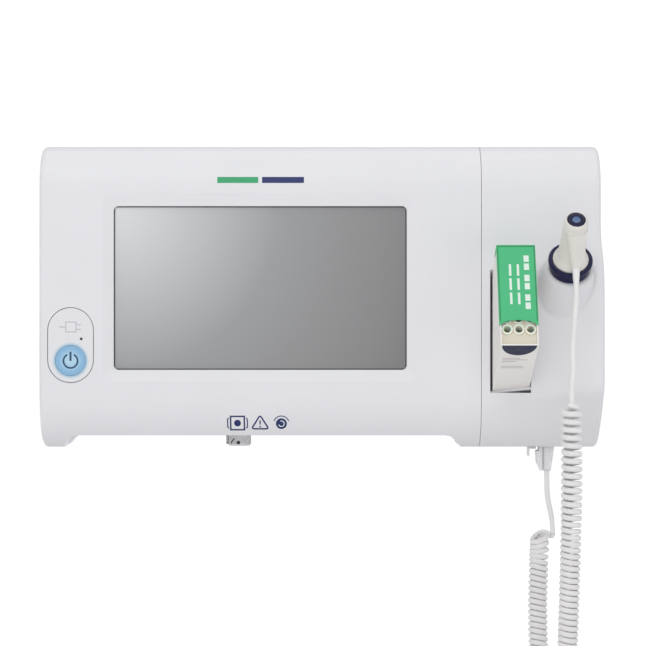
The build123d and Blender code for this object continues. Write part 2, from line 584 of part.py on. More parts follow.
with BuildPart() as module_rear_housing:
    box_between(
        (MODULE_LEFT_X, SPLIT_Y, 0.4 - HALF_HEIGHT),
        (MODULE_RIGHT_X - 0.4, MODULE_REAR_Y, HALF_HEIGHT - 0.4),
    )
    fillet(module_rear_housing.faces().sort_by(Axis.Y)[-1].edges(), radius=4)
    side_edges = module_rear_housing.edges().filter_by(Axis.Y)
    fillet(side_edges.group_by(Axis.X)[-1], radius=2.5)
    add(module_inside.part, mode=Mode.SUBTRACT)
    screw_holes(module_screws_at, SPLIT_Y - 1, MODULE_REAR_Y, 1.6)
    screw_holes(module_screws_at, -18, MODULE_REAR_Y + 1, 2.9)
save(module_rear_housing, "module_rear_housing")

with BuildPart() as module_screws:
    screws(module_screws_at, -18, SPLIT_Y - 12, 2.7, 1.3, 2)
    for y, z in link_screws_at:
        with Locations(Plane((MODULE_LEFT_X + WALL, y, z), x_dir=(0, 1, 0), z_dir=(1, 0, 0))):
            Cylinder(1.3, 8.5, align=(Align.CENTER, Align.CENTER, Align.MAX))
            Cylinder(2.7, 1.8, align=(Align.CENTER, Align.CENTER, Align.MIN))
save(module_screws, "module_screws")

with BuildPart() as module_board:
    box_between((121, -22, 24), (174, -20.4, 65))
    for x, z, width, height, depth in ((129, 52, 10, 10, 5), (150, 48, 16, 16, 2), (164, 34, 8, 10, 3)):
        box_between((x - width / 2, -22 - depth, z - height / 2), (x + width / 2, -22, z + height / 2))
save(module_board, "module_board")

with BuildPart() as link_cable:
    with BuildLine():
        FilletPolyline(
            (79, -45.4, 20), (90, -45.4, 20), (102, -40, 44), (114, -37, 52), (129, -37, 52), (129, -27, 52), radius=4
        )
    with BuildSketch(Plane((79, -45.4, 20), z_dir=(1, 0, 0))):
        Circle(1.8)
    sweep()
save(link_cable, "link_cable")

# ---------------------------------------------------------------- module: probe well and probe
with BuildPart() as probe_well:
    add(
        turned(
            well_plane,
            [
                (9.6, 0), (10.9, 0), (11.4, -0.5), (11.4, -1.8), (11.1, -2.2), (10.4, -2.4), (10.4, -COLLAR_H),
                (WELL_TUBE_R, -COLLAR_H), (WELL_TUBE_R, -14), (6.4, -30), (4.8, -WELL_DEPTH), (0, -WELL_DEPTH),
                (0, 1.2 - WELL_DEPTH), (3.6, 1.2 - WELL_DEPTH), (5.0, -28), (5.0, -SEAT_Z), (8.85, -SEAT_Z),
                (8.85, -1.4), (9.6, -1.0),
            ],
        )
    )
save(probe_well, "probe_well")

with BuildPart() as well_sensor:
    box_between((MODULE_RIGHT_X - WALL - 3, -56, -4), (MODULE_RIGHT_X - WALL, -42, 8))
save(well_sensor, "well_sensor")

lead_start = probe_plane.from_local_coords((0, -10.2, 4.4))
lead_down = Vector(0, -0.1, -1).normalized()
with BuildPart() as probe_handle:
    add(
        turned(
            probe_plane,
            [
                (0, -2), (7.4, -2), (7.4, -SEAT_Z), (8.5, -SEAT_Z), (8.5, -1.8), (9.2, -1.0), (9.2, 0.5),
                (8.4, 2.0), (7.4, 4.5), (6.8, 8), (6.5, 13), (6.4, 20), (6.3, 26), (6.0, 29.0), (5.5, 30.6),
                (5.1, 31.0), (0, 31.0),
            ],
        )
    )
    with BuildSketch(probe_plane.offset(26)):
        with Locations((0, -1.6)):
            RectangleRounded(11.6, 9.0, 4)
    with BuildSketch(Plane(lead_start, x_dir=probe_plane.x_dir, z_dir=lead_down)):
        RectangleRounded(4.8, 4.4, 1.9)
    loft()
    with Locations(probe_plane.offset(5)):
        Cylinder(4.75, 40, align=(Align.CENTER, Align.CENTER, Align.MIN), mode=Mode.SUBTRACT)
    with Locations(probe_plane):
        Cylinder(2.1, 20, mode=Mode.SUBTRACT)
        with Locations((-3.9, 0, 2), (3.9, 0, 2)):
            Box(1.8, 2.8, 12, mode=Mode.SUBTRACT)
save(probe_handle, "probe_handle")

with BuildPart() as eject_button:
    add(
        turned(
            probe_plane,
            [
                (0, 14), (2.2, 14), (2.2, 26.5), (4.65, 26.5), (4.65, 30.9), (4.3, 31.3), (2.6, 31.4),
                (2.3, 31.0), (0, 30.8),
            ],
        )
    )
save(eject_button, "eject_button")

with BuildPart() as ejector_fork:
    with BuildSketch(probe_plane.offset(12)):
        Circle(4.4)
    extrude(amount=2)
    with Locations(probe_plane):
        with Locations((-3.9, 0, -2), (3.9, 0, -2)):
            Box(1.2, 2.2, 28)
    with BuildSketch(probe_plane.offset(-18)):
        Circle(4.6)
        Circle(2.6, mode=Mode.SUBTRACT)
    extrude(amount=2)
save(ejector_fork, "ejector_fork")

with BuildPart() as ejector_spring:
    with BuildLine():
        spring_line = Helix(
            pitch=1.5, height=6.3, radius=2.8, center=probe_plane.from_local_coords((0, 0, 5.3)), direction=well_out
        )
    with BuildSketch(Plane(spring_line @ 0, z_dir=spring_line % 0)):
        Circle(0.25)
    sweep(is_frenet=True)
save(ejector_spring, "ejector_spring")

with BuildPart() as probe_shaft:
    add(turned(probe_plane, [(1.2, 5), (2.1, 5), (2.1, -86), (1.2, -86)]))
save(probe_shaft, "probe_shaft")

with BuildPart() as probe_tip:
    add(turned(probe_plane, [(0, -92), (1.2, -91.8), (1.9, -91), (2.1, -90), (2.1, -86), (0, -86)]))
save(probe_tip, "probe_tip")

with BuildPart() as probe_strain_relief:
    with BuildSketch(Plane(lead_start, z_dir=lead_down)):
        Circle(2.0)
    with BuildSketch(Plane(lead_start + lead_down * RELIEF_L, z_dir=lead_down)):
        Circle(1.5)
    loft()
save(probe_strain_relief, "probe_strain_relief")

# ---------------------------------------------------------------- module: carton of probe covers
with BuildPart() as carton_holder:
    carton_box((slot_low_x - 1.2, -1.2, -CARTON_L - 1.2), (slot_high_x + 0.6, CARTON_H + 2.3, 0))
    carton_box((slot_low_x, 0, -CARTON_L), (slot_high_x, CARTON_H + 1.1, 10), Mode.SUBTRACT)
    add(module_inside.part, mode=Mode.INTERSECT)
save(carton_holder, "carton_holder")

with BuildPart() as cover_carton:
    carton_box((-half_w, 0, -CARTON_L), (half_w, CARTON_H, 0))
    carton_box((CARD - half_w, CARD, CARD - CARTON_L), (half_w - CARD, CARTON_H - CARD, 1), Mode.SUBTRACT)
save(cover_carton, "cover_carton")

with BuildPart() as carton_lid:
    carton_box((-half_w - 0.4, LID_LOW, 0), (half_w + 0.4, CARTON_H + 0.5, 0.5))
    carton_box((-half_w - 0.4, CARTON_H, -12), (half_w + 0.4, CARTON_H + 0.5, 0))
    for side in (-1, 1):
        near, far = sorted((side * half_w, side * (half_w + 0.4)))
        carton_box((near, LID_LOW, -1.5), (far, CARTON_H + 0.5, 0))
    with BuildSketch(carton_plane.offset(-2)):
        with Locations((0, LID_LOW)):
            Ellipse(half_w - 0.8, 2.6)
    extrude(amount=4, mode=Mode.SUBTRACT)
save(carton_lid, "carton_lid")

cover_spots = [
    (COVER_PITCH * column, FIRST_COVER + COVER_PITCH * row) for row in range(COVER_ROWS) for column in (-1, 0, 1)
]
with BuildPart() as carton_tray:
    carton_box((CARD - half_w, CARD, -12), (half_w - CARD, CARTON_H - CARD, -2.2))
    carton_box((1 - half_w, 1, -12), (half_w - 1, CARTON_H - 1, -3.2), Mode.SUBTRACT)
    with BuildSketch(carton_plane):
        with Locations(*cover_spots):
            Circle(2.35)
    extrude(amount=-20, mode=Mode.SUBTRACT)
save(carton_tray, "carton_tray")

cover_shape = turned(
    carton_plane,
    [(1.9, -1.2), (2.85, -1.2), (2.85, -2.2), (2.3, -2.2), (2.1, -84), (1.6, -86), (0, -86), (0, -85.7),
     (1.5, -85.7), (1.85, -84)],
)
with BuildPart() as probe_covers:
    for x, y in cover_spots:
        shift = carton_plane.from_local_coords((x, y, 0)) - carton_plane.origin
        add(cover_shape.moved(Location(shift)))
save(probe_covers, "probe_covers")

# ---------------------------------------------------------------- module: probe socket, plug and cord
with BuildPart() as probe_socket:
    box_between((SOCKET_LOW[0], SOCKET_LOW[1], -79.9), (SOCKET_HIGH[0], SOCKET_HIGH[1], -62))
    box_between(
        (SOCKET_LOW[0] + 1, SOCKET_LOW[1] + 1, -79.9), (SOCKET_HIGH[0] - 1, SOCKET_HIGH[1] - 1, -64.5), Mode.SUBTRACT
    )
save(probe_socket, "probe_socket")

with BuildPart() as probe_plug:
    box_between((148.8, PLUG_Y - 4.4, PLUG_TOP_Z), (156.9, PLUG_Y + 4.4, -66))
    with BuildSketch(Plane.XY.offset(PLUG_TOP_Z)):
        with Locations((153.8, PLUG_Y)):
            RectangleRounded(6.4, 8.0, 1.8)
    with BuildSketch(Plane.XY.offset(PLUG_END_Z)):
        with Locations((153.2, PLUG_Y)):
            RectangleRounded(4.4, 4.6, 1.6)
    loft()
save(probe_plug, "probe_plug")

with BuildPart() as plug_shell:
    with BuildSketch(Plane((0, PLUG_Y + 4.2, 0), x_dir=(1, 0, 0), z_dir=(0, -1, 0))):
        with BuildLine():
            Polyline(
                (148.6, PLUG_TOP_Z), (150.5, PLUG_TOP_Z), (150.5, PLUG_END_Z), (149.4, PLUG_END_Z), (147.6, -89),
                (147.2, -82.2), (148.6, -82.2), close=True,
            )
        make_face()
    extrude(amount=8.4)
    fillet(plug_shell.edges().filter_by(Axis.Y).group_by(Axis.X)[0], radius=0.5)
save(plug_shell, "plug_shell")

with BuildPart() as plug_latch:
    box_between((146.9, PLUG_Y - 2.5, -67.2), (148.5, PLUG_Y + 2.5, -66.2))
    box_between((146.2, PLUG_Y - 2.5, -80.4), (147.1, PLUG_Y + 2.5, -66.2))
    box_between((142.7, PLUG_Y - 2.5, -81.3), (147.1, PLUG_Y + 2.5, -80.4))
    box_between((142.7, PLUG_Y - 2.5, -85.1), (143.7, PLUG_Y + 2.5, -80.4))
save(plug_latch, "plug_latch")


def tube_along(points, radius, name):
    """Straight runs joined by tangent arcs as large as the runs allow, as one round solid."""
    corners = [Vector(*point) for point in points]
    runs = [(b - a).length for a, b in zip(corners, corners[1:])]
    radii = []
    for index in range(1, len(corners) - 1):
        turn = (corners[index] - corners[index - 1]).get_angle(corners[index + 1] - corners[index])
        radii.append(0.45 * min(runs[index - 1], runs[index]) / tan(radians(turn) / 2))
    with BuildPart() as tube:
        with BuildLine() as route:
            FilletPolyline(*points, radius=radii)
        with BuildSketch(Plane(corners[0], z_dir=corners[1] - corners[0])):
            Circle(radius)
        sweep()
    expected = pi * radius**2 * route.wires()[0].length
    print(name, "radii", [round(r, 1) for r in radii], "length", round(route.wires()[0].length, 1))
    print(name, "volume", round(tube.part.volume, 1), "section x length", round(expected, 1))
    save(tube, name)


relief_end = lead_start + lead_down * RELIEF_L
lead_first = relief_end + lead_down * 8
tube_along([tuple(relief_end), tuple(lead_first)] + FRONT_LEAD, CORD_R, "cord_lead_probe")
tube_along(FRONT_COIL, FRONT_COIL_R, "cord_coil_front")
tube_along(REAR_COIL, REAR_COIL_R, "cord_coil_rear")
tube_along(REAR_LEAD, CORD_R, "cord_lead_plug")
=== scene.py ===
import bpy
from math import cos, pi, radians, sin
from mathutils import Matrix, Vector
from mathutils.bvhtree import BVHTree


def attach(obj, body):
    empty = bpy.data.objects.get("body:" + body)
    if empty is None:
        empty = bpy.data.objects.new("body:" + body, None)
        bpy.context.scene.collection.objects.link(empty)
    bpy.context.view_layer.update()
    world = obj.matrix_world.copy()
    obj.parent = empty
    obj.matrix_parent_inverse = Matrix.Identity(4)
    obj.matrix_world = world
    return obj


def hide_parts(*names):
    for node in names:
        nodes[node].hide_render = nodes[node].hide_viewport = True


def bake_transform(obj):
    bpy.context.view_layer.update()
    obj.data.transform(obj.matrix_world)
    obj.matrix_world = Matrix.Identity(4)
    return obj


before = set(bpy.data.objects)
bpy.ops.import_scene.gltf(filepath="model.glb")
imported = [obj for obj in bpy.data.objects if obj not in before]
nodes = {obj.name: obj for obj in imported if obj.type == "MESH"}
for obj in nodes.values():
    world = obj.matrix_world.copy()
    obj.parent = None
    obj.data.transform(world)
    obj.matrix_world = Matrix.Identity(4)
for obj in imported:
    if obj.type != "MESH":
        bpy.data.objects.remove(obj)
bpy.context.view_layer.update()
scene = bpy.context.scene
MM = 0.001

# ---------------------------------------------------------------- camera, light and floor
scene.view_settings.view_transform = "Standard"
camera_data = bpy.data.cameras.new("camera")
camera_data.lens, camera_data.sensor_width = 116.8, 36.0
camera = bpy.data.objects.new("camera", camera_data)
camera.location, camera.rotation_euler = (0.033, -1.166, -0.0139), (pi / 2, 0, 0)
scene.collection.objects.link(camera)
scene.camera = camera

WORLD_LIGHT = 0.53
world = bpy.data.worlds.new("studio")
world.use_nodes = True
scene.world = world
sky = world.node_tree
sky.nodes.clear()
sky_out = sky.nodes.new("ShaderNodeOutputWorld")
sky_mix = sky.nodes.new("ShaderNodeMixShader")
sky_ray = sky.nodes.new("ShaderNodeLightPath")
sky_light = sky.nodes.new("ShaderNodeBackground")
sky_light.inputs["Color"].default_value = (0.985, 0.99, 1.0, 1)
sky_light.inputs["Strength"].default_value = WORLD_LIGHT
sky_seen = sky.nodes.new("ShaderNodeBackground")
sky_seen.inputs["Color"].default_value = (1, 1, 1, 1)
sky_seen.inputs["Strength"].default_value = 1.05
sky.links.new(sky_ray.outputs["Is Camera Ray"], sky_mix.inputs["Fac"])
sky.links.new(sky_light.outputs["Background"], sky_mix.inputs[1])
sky.links.new(sky_seen.outputs["Background"], sky_mix.inputs[2])
sky.links.new(sky_mix.outputs["Shader"], sky_out.inputs["Surface"])


def softbox(name, place, aim, size, power):
    """Square area light turned towards a point."""
    data = bpy.data.lights.new(name, "AREA")
    data.shape, data.size, data.energy = "SQUARE", size, power
    lamp = bpy.data.objects.new(name, data)
    lamp.location = place
    lamp.rotation_euler = (Vector(aim) - Vector(place)).to_track_quat("-Z", "Y").to_euler()
    scene.collection.objects.link(lamp)


softbox("key", (-0.3, -2.0, 1.4), (0.05, -0.05, 0.0), 2.0, 17.5)
softbox("top", (0.1, 0.2, 1.9), (0.03, -0.05, 0.0), 1.6, 9.0)


# ---------------------------------------------------------------- material helpers
def rgb(red, green, blue):
    """Linear colour from sRGB values of 0 to 255."""
    linear = [v / 255 / 12.92 if v <= 10 else ((v / 255 + 0.055) / 1.055) ** 2.4 for v in (red, green, blue)]
    return (*linear, 1.0)


def scaled(colour, factor):
    """Colour made lighter or darker by a factor."""
    return (*[min(1.0, v * factor) for v in colour[:3]], 1.0)


def shader(name, **sockets):
    """New material, its node tree, its Principled shader and its object coordinates."""
    made = bpy.data.materials.new(name)
    made.use_nodes = True
    tree = made.node_tree
    principled = next(n for n in tree.nodes if n.type == "BSDF_PRINCIPLED")
    for socket, value in sockets.items():
        principled.inputs[socket.replace("_", " ")].default_value = value
    return made, tree, principled, tree.nodes.new("ShaderNodeTexCoord").outputs["Object"]


def noise(tree, vector, size, detail=2.0, stretch=(1, 1, 1)):
    """Noise from 0 to 1 with features of a size in metres, stretched along the axes given."""
    mapping = tree.nodes.new("ShaderNodeMapping")
    mapping.inputs["Scale"].default_value = [1 / s for s in stretch]
    texture = tree.nodes.new("ShaderNodeTexNoise")
    texture.inputs["Scale"].default_value = 1 / size
    texture.inputs["Detail"].default_value = detail
    tree.links.new(vector, mapping.inputs["Vector"])
    tree.links.new(mapping.outputs["Vector"], texture.inputs["Vector"])
    return texture.outputs["Fac"]


def span(tree, value, low, high, from_low=0.3, from_high=0.7):
    """A value moved linearly into a new range."""
    node = tree.nodes.new("ShaderNodeMapRange")
    for socket, number in zip(("From Min", "From Max", "To Min", "To Max"), (from_low, from_high, low, high)):
        node.inputs[socket].default_value = number
    tree.links.new(value, node.inputs["Value"])
    return node.outputs["Result"]


def maths(tree, operation, first, second=0.0):
    """One arithmetic node; each input is a socket or a number."""
    node = tree.nodes.new("ShaderNodeMath")
    node.operation = operation
    for socket, value in zip(node.inputs, (first, second)):
        if isinstance(value, (int, float)):
            socket.default_value = value
        else:
            tree.links.new(value, socket)
    return node.outputs["Value"]


def blended(tree, factor, first, second):
    """Colour mixed by a factor; each colour is a socket or a value."""
    node = tree.nodes.new("ShaderNodeMix")
    node.data_type = "RGBA"
    tree.links.new(factor, node.inputs["Factor"])
    for socket, value in ((node.inputs[6], first), (node.inputs[7], second)):
        if isinstance(value, tuple):
            socket.default_value = value
        else:
            tree.links.new(value, socket)
    return node.outputs[2]


def grain(tree, principled, height, depth, soften=0.0, samples=4):
    """Bump of a depth in metres, over edges softened by a radius in metres, which is a number or a socket."""
    bump = tree.nodes.new("ShaderNodeBump")
    bump.inputs["Distance"].default_value = depth
    tree.links.new(height, bump.inputs["Height"])
    if soften:
        bevel = tree.nodes.new("ShaderNodeBevel")
        bevel.samples = samples
        if isinstance(soften, float):
            bevel.inputs["Radius"].default_value = soften
        else:
            tree.links.new(soften, bevel.inputs["Radius"])
        tree.links.new(bevel.outputs["Normal"], bump.inputs["Normal"])
    tree.links.new(bump.outputs["Normal"], principled.inputs["Normal"])


def plastic(name, colour, rough=0.42, size=0.00035, depth=0.000012, vary=0.03, soften=0.0003, **sockets):
    """Moulded plastic with a fine grain, slight shade drift and uneven gloss."""
    made, tree, principled, where = shader(name, **sockets)
    drift = span(tree, noise(tree, where, 0.03, 3), 0, 1)
    shade = blended(tree, drift, scaled(colour, 1 - vary), scaled(colour, 1 + vary))
    gloss = span(tree, noise(tree, where, 0.004, 4), rough - 0.05, rough + 0.05)
    tree.links.new(shade, principled.inputs["Base Color"])
    tree.links.new(gloss, principled.inputs["Roughness"])
    grain(tree, principled, noise(tree, where, size, 3), depth, soften)
    return made


def metal(name, colour, rough=0.25, stretch=(1, 1, 1), size=0.0006, depth=0.000006, vary=0.06, soften=0.0002):
    """Bare or plated metal, brushed along the axes that stretch is large on."""
    made, tree, principled, where = shader(name, Metallic=1.0)
    lines = noise(tree, where, size, 4, stretch)
    shade = blended(tree, lines, scaled(colour, 1 - vary), scaled(colour, 1 + vary))
    gloss = span(tree, noise(tree, where, 0.003, 3), rough * 0.8, rough * 1.3)
    tree.links.new(shade, principled.inputs["Base Color"])
    tree.links.new(gloss, principled.inputs["Roughness"])
    grain(tree, principled, lines, depth, soften)
    return made


def dress(material, *names):
    """Gives CAD nodes a material."""
    for name in names:
        for slot in nodes[name].material_slots:
            slot.material = material


# ---------------------------------------------------------------- materials
WHITE_SRGB = (231, 231, 234)
WHITE = rgb(*WHITE_SRGB)
WELL_SWELL = Vector((160.4, -82.5, 14.7)) * MM     # where the probe well's collar leaves the housing
GREEN = rgb(64, 186, 124)

housing_white = plastic("housing_white", WHITE, 0.45, vary=0.008, soften=0.0004)
carton_green = plastic("carton_green", GREEN, 0.38, 0.0009, 0.000010, vary=0.04, soften=0.0)
card_white = plastic("card_white", rgb(242, 239, 235), 0.55, 0.0006, 0.000012, vary=0.025, soften=0.0)
tray_grey = plastic("tray_grey", rgb(222, 216, 200), 0.6, 0.0008, 0.000015)
cover_cream = plastic(
    "cover_cream", rgb(246, 241, 226), 0.4, 0.0005, 0.000008, Subsurface_Weight=0.5, Subsurface_Scale=0.003
)
probe_white = plastic("probe_white", rgb(232, 228, 222), 0.36, 0.0003, 0.000008, vary=0.015, soften=0.0005)
navy_plastic = plastic(
    "navy_plastic", rgb(12, 16, 62), 0.36, 0.0003, 0.000006, vary=0.08, Specular_IOR_Level=0.3
)
navy_button = plastic(
    "navy_button", rgb(14, 20, 56), 0.3, 0.0003, 0.000004, vary=0.08, Specular_IOR_Level=0.3
)
dark_plastic = plastic("dark_plastic", rgb(52, 52, 56), 0.5, 0.0004, 0.000012, vary=0.08)
port_black = plastic("port_black", rgb(34, 34, 37), 0.4, 0.0004, 0.000010, vary=0.08)
chip_black = plastic("chip_black", rgb(38, 38, 42), 0.55, 0.0005, 0.000015, vary=0.1)
rubber_black = plastic("rubber_black", rgb(36, 36, 38), 0.7, 0.0008, 0.00002, vary=0.1)
cord_white = plastic("cord_white", rgb(239, 237, 237), 0.42, 0.0006, 0.000012, vary=0.02, soften=0.0)
latch_white = plastic("latch_white", rgb(234, 234, 236), 0.35, 0.0004, 0.000008, vary=0.02)
battery_wrap = plastic("battery_wrap", rgb(52, 74, 128), 0.35, 0.002, 0.00003, vary=0.06)
copper_flex = plastic("copper_flex", rgb(196, 130, 52), 0.35, 0.0005, 0.00001, vary=0.08)
led_grey = plastic("led_grey", rgb(62, 66, 62), 0.2, 0.0003, 0.000003, vary=0.05, soften=0.0)
clear_grey = plastic(
    "clear_grey", rgb(240, 240, 242), 0.25, 0.0008, 0.00002, vary=0.05, soften=0.0012,
    Transmission_Weight=0.08, IOR=1.49,
)
chrome = metal("chrome", rgb(206, 206, 208), 0.16)
steel = metal("steel", rgb(170, 170, 174), 0.3, size=0.0004)
sheet_metal = metal("sheet_metal", rgb(196, 197, 200), 0.34, stretch=(40, 1, 1), size=0.0003)


def circuit_board():
    """Green solder mask over faint copper tracks."""
    made, tree, principled, where = shader("circuit_board", Roughness=0.35)
    tracks = tree.nodes.new("ShaderNodeTexBrick")
    tracks.inputs["Scale"].default_value = 160
    tracks.inputs["Mortar Size"].default_value = 0.06
    tracks.inputs["Color1"].default_value = rgb(22, 92, 58)
    tracks.inputs["Color2"].default_value = rgb(26, 100, 62)
    tracks.inputs["Mortar"].default_value = rgb(60, 138, 92)
    turned = tree.nodes.new("ShaderNodeMapping")
    turned.inputs["Rotation"].default_value = (pi / 2, 0, 0)
    tree.links.new(where, turned.inputs["Vector"])
    tree.links.new(turned.outputs["Vector"], tracks.inputs["Vector"])
    tree.links.new(tracks.outputs["Color"], principled.inputs["Base Color"])
    grain(tree, principled, tracks.outputs["Fac"], 0.00003)
    return made


SCREEN_CENTRE = Vector((0.0, 0.0, 4.5)) * MM
SCREEN_HALF = Vector((77.0, 0.0, 43.0)) * MM


def distance_from(tree, where, centre, mask=(1, 1, 1)):
    """Distance in metres from a point, along the axes that mask keeps."""
    offset = tree.nodes.new("ShaderNodeVectorMath")
    offset.operation = "SUBTRACT"
    offset.inputs[1].default_value = centre
    tree.links.new(where, offset.inputs[0])
    kept = tree.nodes.new("ShaderNodeVectorMath")
    kept.operation = "MULTIPLY"
    kept.inputs[1].default_value = mask
    tree.links.new(offset.outputs["Vector"], kept.inputs[0])
    length = tree.nodes.new("ShaderNodeVectorMath")
    length.operation = "LENGTH"
    tree.links.new(kept.outputs["Vector"], length.inputs[0])
    return length.outputs["Value"]


def ramped(tree, value, reach, stops):
    """Colour from (metres, sRGB) stops along a distance."""
    ramp = tree.nodes.new("ShaderNodeValToRGB")
    elements = ramp.color_ramp.elements
    elements[0].position, elements[0].color = stops[0][0] / reach, rgb(*stops[0][1])
    elements[1].position, elements[1].color = stops[-1][0] / reach, rgb(*stops[-1][1])
    for place, colour in stops[1:-1]:
        elements.new(place / reach).color = rgb(*colour)
    tree.links.new(span(tree, value, 0, 1, 0.0, reach), ramp.inputs["Fac"])
    return ramp.outputs["Color"]


def module_white():
    """Housing plastic whose swelling round the probe well runs softly into the front."""
    made, tree, principled, where = shader("module_white", Roughness=0.45)
    drift = span(tree, noise(tree, where, 0.03, 3), 0, 1)
    shade = blended(tree, drift, scaled(WHITE, 0.992), scaled(WHITE, 1.008))
    tree.links.new(shade, principled.inputs["Base Color"])
    soft = span(tree, distance_from(tree, where, WELL_SWELL), 0.0045, 0.0004, 0.022, 0.036)
    grain(tree, principled, noise(tree, where, 0.00035, 3), 0.000012, soft, 12)
    return made


def screen_glass():
    """Unlit screen: a satin grey panel with a painted reflection that makes it lighter to its upper left,
    inside a thin dark border that is the display's dark edge and painted shadow under the bezel.
    """
    made, tree, principled, where = shader(
        "screen_glass", Roughness=0.24, Coat_Weight=0.25, Coat_Roughness=0.08
    )
    axes = tree.nodes.new("ShaderNodeSeparateXYZ")
    tree.links.new(where, axes.inputs["Vector"])
    corner = SCREEN_CENTRE + Vector((-SCREEN_HALF.x, 0, SCREEN_HALF.z))
    # painted reflection: the panel's colour is lighter near its upper left corner and darker towards its lower
    # right
    shade = ramped(
        tree, distance_from(tree, where, corner, (1, 0, 1)), 0.18,
        [(0.0, (226, 227, 228)), (0.044, (196, 197, 198)), (0.087, (160, 161, 162)), (0.12, (149, 149, 150)),
         (0.154, (138, 138, 139)), (0.18, (126, 126, 127))],
    )
    # painted shadow: a thin dark border round the panel, the display's dark edge made dark as the shadow line
    # under the bezel
    edge_x = maths(tree, "SUBTRACT", SCREEN_HALF.x, maths(tree, "ABSOLUTE", axes.outputs["X"]))
    edge_z = maths(
        tree, "SUBTRACT", SCREEN_HALF.z,
        maths(tree, "ABSOLUTE", maths(tree, "SUBTRACT", axes.outputs["Z"], SCREEN_CENTRE.z)),
    )
    inside = span(tree, maths(tree, "MINIMUM", edge_x, edge_z), 0, 1, 0.0003, 0.0008)
    tree.links.new(blended(tree, inside, rgb(44, 45, 47), shade), principled.inputs["Base Color"])
    grain(tree, principled, noise(tree, where, 0.0009, 2), 0.000002)
    return made


BUTTON_CENTRE = Vector((-99.5, -66.2, -33.6)) * MM
GLOW_REACH = 0.0098     # from the button's centre to where the pad is its own white


def lit_blue(name, beyond):
    """Blue glow round the power symbol, which fades into the pad's own white past the button's edge."""
    made, tree, principled, where = shader(name)
    glow = ramped(
        tree, distance_from(tree, where, BUTTON_CENTRE, (1, 0, 1)), GLOW_REACH,
        [(0.0, (190, 220, 240)), (0.0041, (166, 206, 232)), (0.0061, (142, 188, 224)),
         (0.0076, (138, 182, 216)), (0.0088, (194, 214, 228)), (GLOW_REACH, beyond)],
    )
    tree.links.new(glow, principled.inputs["Base Color"])
    tree.links.new(span(tree, noise(tree, where, 0.004, 3), 0.34, 0.44), principled.inputs["Roughness"])
    grain(tree, principled, noise(tree, where, 0.0003, 2), 0.000006)
    return made


dress(housing_white, "front_housing", "rear_housing", "battery_door", "module_rear_housing", "carton_holder")
dress(module_white(), "module_front_housing")
dress(lit_blue("pad_white", WHITE_SRGB), "power_pad")
dress(lit_blue("button_blue", WHITE_SRGB), "power_button")
dress(led_grey, "status_light_pipe")
dress(screen_glass(), "touch_panel")
dress(dark_plastic, "display_module", "speaker", "battery_contacts", "power_switch", "air_manifold",
      "well_sensor")
dress(port_black, "power_inlet", "call_jack", "probe_socket")
dress(rubber_black, "screen_gasket", "air_tube", "link_cable")
dress(chip_black, "board_components")
dress(circuit_board(), "main_board", "button_board", "module_board")
dress(copper_flex, "display_ribbon")
dress(battery_wrap, "battery_pack")
dress(sheet_metal, "display_bracket", "mount_plate", "ethernet_jack", "usb_ports", "pump_strap")
dress(steel, "monitor_screws", "door_screw", "mount_screws", "module_screws", "air_valves", "air_pump",
      "port_clip", "ejector_spring", "probe_shaft")
dress(chrome, "air_port", "probe_tip")
dress(navy_plastic, "probe_well")
dress(navy_button, "eject_button")
dress(probe_white, "probe_handle", "ejector_fork")
dress(cord_white, "probe_strain_relief")
dress(card_white, "cover_carton")
dress(carton_green, "carton_lid")
dress(tray_grey, "carton_tray")
dress(cover_cream, "probe_covers")
dress(clear_grey, "probe_plug")
dress(latch_white, "plug_shell", "plug_latch")

# ---------------------------------------------------------------- cord
LEAD = [
    (0.1620, -0.0977, 0.0138), (0.1620, -0.0984, 0.0068), (0.1620, -0.0992, -0.0012), (0.1609, -0.0998, -0.013),
    (0.1601, -0.0997, -0.026), (0.1606, -0.0995, -0.038), (0.1596, -0.0990, -0.048), (0.1596, -0.0987, -0.055),
]
FRONT_COIL = [
    (0.1596, -0.0987, -0.055), (0.1599, -0.0983, -0.085), (0.1596, -0.0969, -0.118), (0.1590, -0.0942, -0.152),
    (0.1584, -0.0906, -0.184), (0.1576, -0.0860, -0.213), (0.1562, -0.0802, -0.238), (0.1543, -0.0735, -0.250),
    (0.1514, -0.0625, -0.250), (0.1499, -0.0560, -0.238), (0.1489, -0.0524, -0.216),
]
REAR_COIL = [
    (0.1489, -0.0524, -0.216), (0.1479, -0.0488, -0.194), (0.1477, -0.0463, -0.172), (0.1480, -0.0446, -0.150),
    (0.1493, -0.0432, -0.1245),
]
PLUG_LEAD = [
    (0.1532, -0.0400, -0.093), (0.1532, -0.0400, -0.101), (0.1536, -0.0402, -0.108), (0.1552, -0.0406, -0.1155),
    (0.1561, -0.0415, -0.122), (0.1561, -0.0424, -0.127),
]
CORD_D = 0.0029


def nurbs_line(points):
    """Points along the smooth NURBS route that the given control points make."""
    curve = bpy.data.curves.new("route", "CURVE")
    curve.dimensions, curve.resolution_u = "3D", 24
    spline = curve.splines.new("NURBS")
    spline.points.add(len(points) - 1)
    for place, point in zip(spline.points, points):
        place.co = (*point, 1)
    spline.order_u = 3
    spline.use_endpoint_u = True
    holder = bpy.data.objects.new("route", curve)
    mesh = bpy.data.meshes.new_from_object(holder)
    line = [v.co.copy() for v in mesh.vertices]
    bpy.data.objects.remove(holder)
    bpy.data.curves.remove(curve)
    bpy.data.meshes.remove(mesh)
    return line


def carried(line, first):
    """Tangent and side direction at each point of a line, carried along it without twist."""
    frames, side = [], Vector(first)
    for index, point in enumerate(line):
        ahead, behind = line[min(index + 1, len(line) - 1)], line[max(index - 1, 0)]
        along = (ahead - behind).normalized()
        side = (side - along * side.dot(along)).normalized()
        frames.append((along, side.copy()))
    return frames


def lengths(line):
    """Distance along a line at each of its points."""
    run = [0.0]
    for a, b in zip(line, line[1:]):
        run.append(run[-1] + (b - a).length)
    return run


